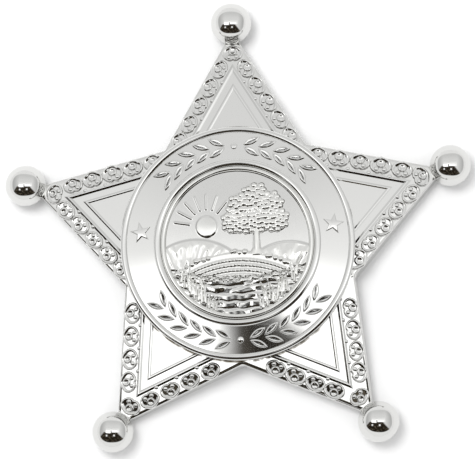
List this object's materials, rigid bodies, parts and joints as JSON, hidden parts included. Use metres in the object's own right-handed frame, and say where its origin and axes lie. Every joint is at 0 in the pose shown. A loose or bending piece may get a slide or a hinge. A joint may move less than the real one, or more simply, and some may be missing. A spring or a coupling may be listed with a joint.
{
  "type": "sheriff star badge",
  "caption": "Pointed star badge with ball tips, scroll border, applied round disc with laurel sprays and a set-in landscape relief, and a bar pin behind.",
  "frame": {"origin": "middle of the star on the plane that the rim and the balls' flats stand on", "axes": "+Z out of the badge's face, +Y toward the top point, +X toward the right-hand points seen from the front"},
  "size_m": [0.0696, 0.0665, 0.0058],
  "materials": {
    "star_chrome": "polished chrome plate on die-cast zinc",
    "disc_chrome": "polished chrome plate on die-cast zinc",
    "medallion_chrome": "chrome plate over struck relief",
    "pin_steel": "nickel-plated steel, satin"
  },
  "bodies": {
    "root": {"star_plate": "star_chrome", "centre_disc": "disc_chrome", "seal_medallion": "medallion_chrome", "pin_clasp": "pin_steel"}
  },
  "joints": []
}
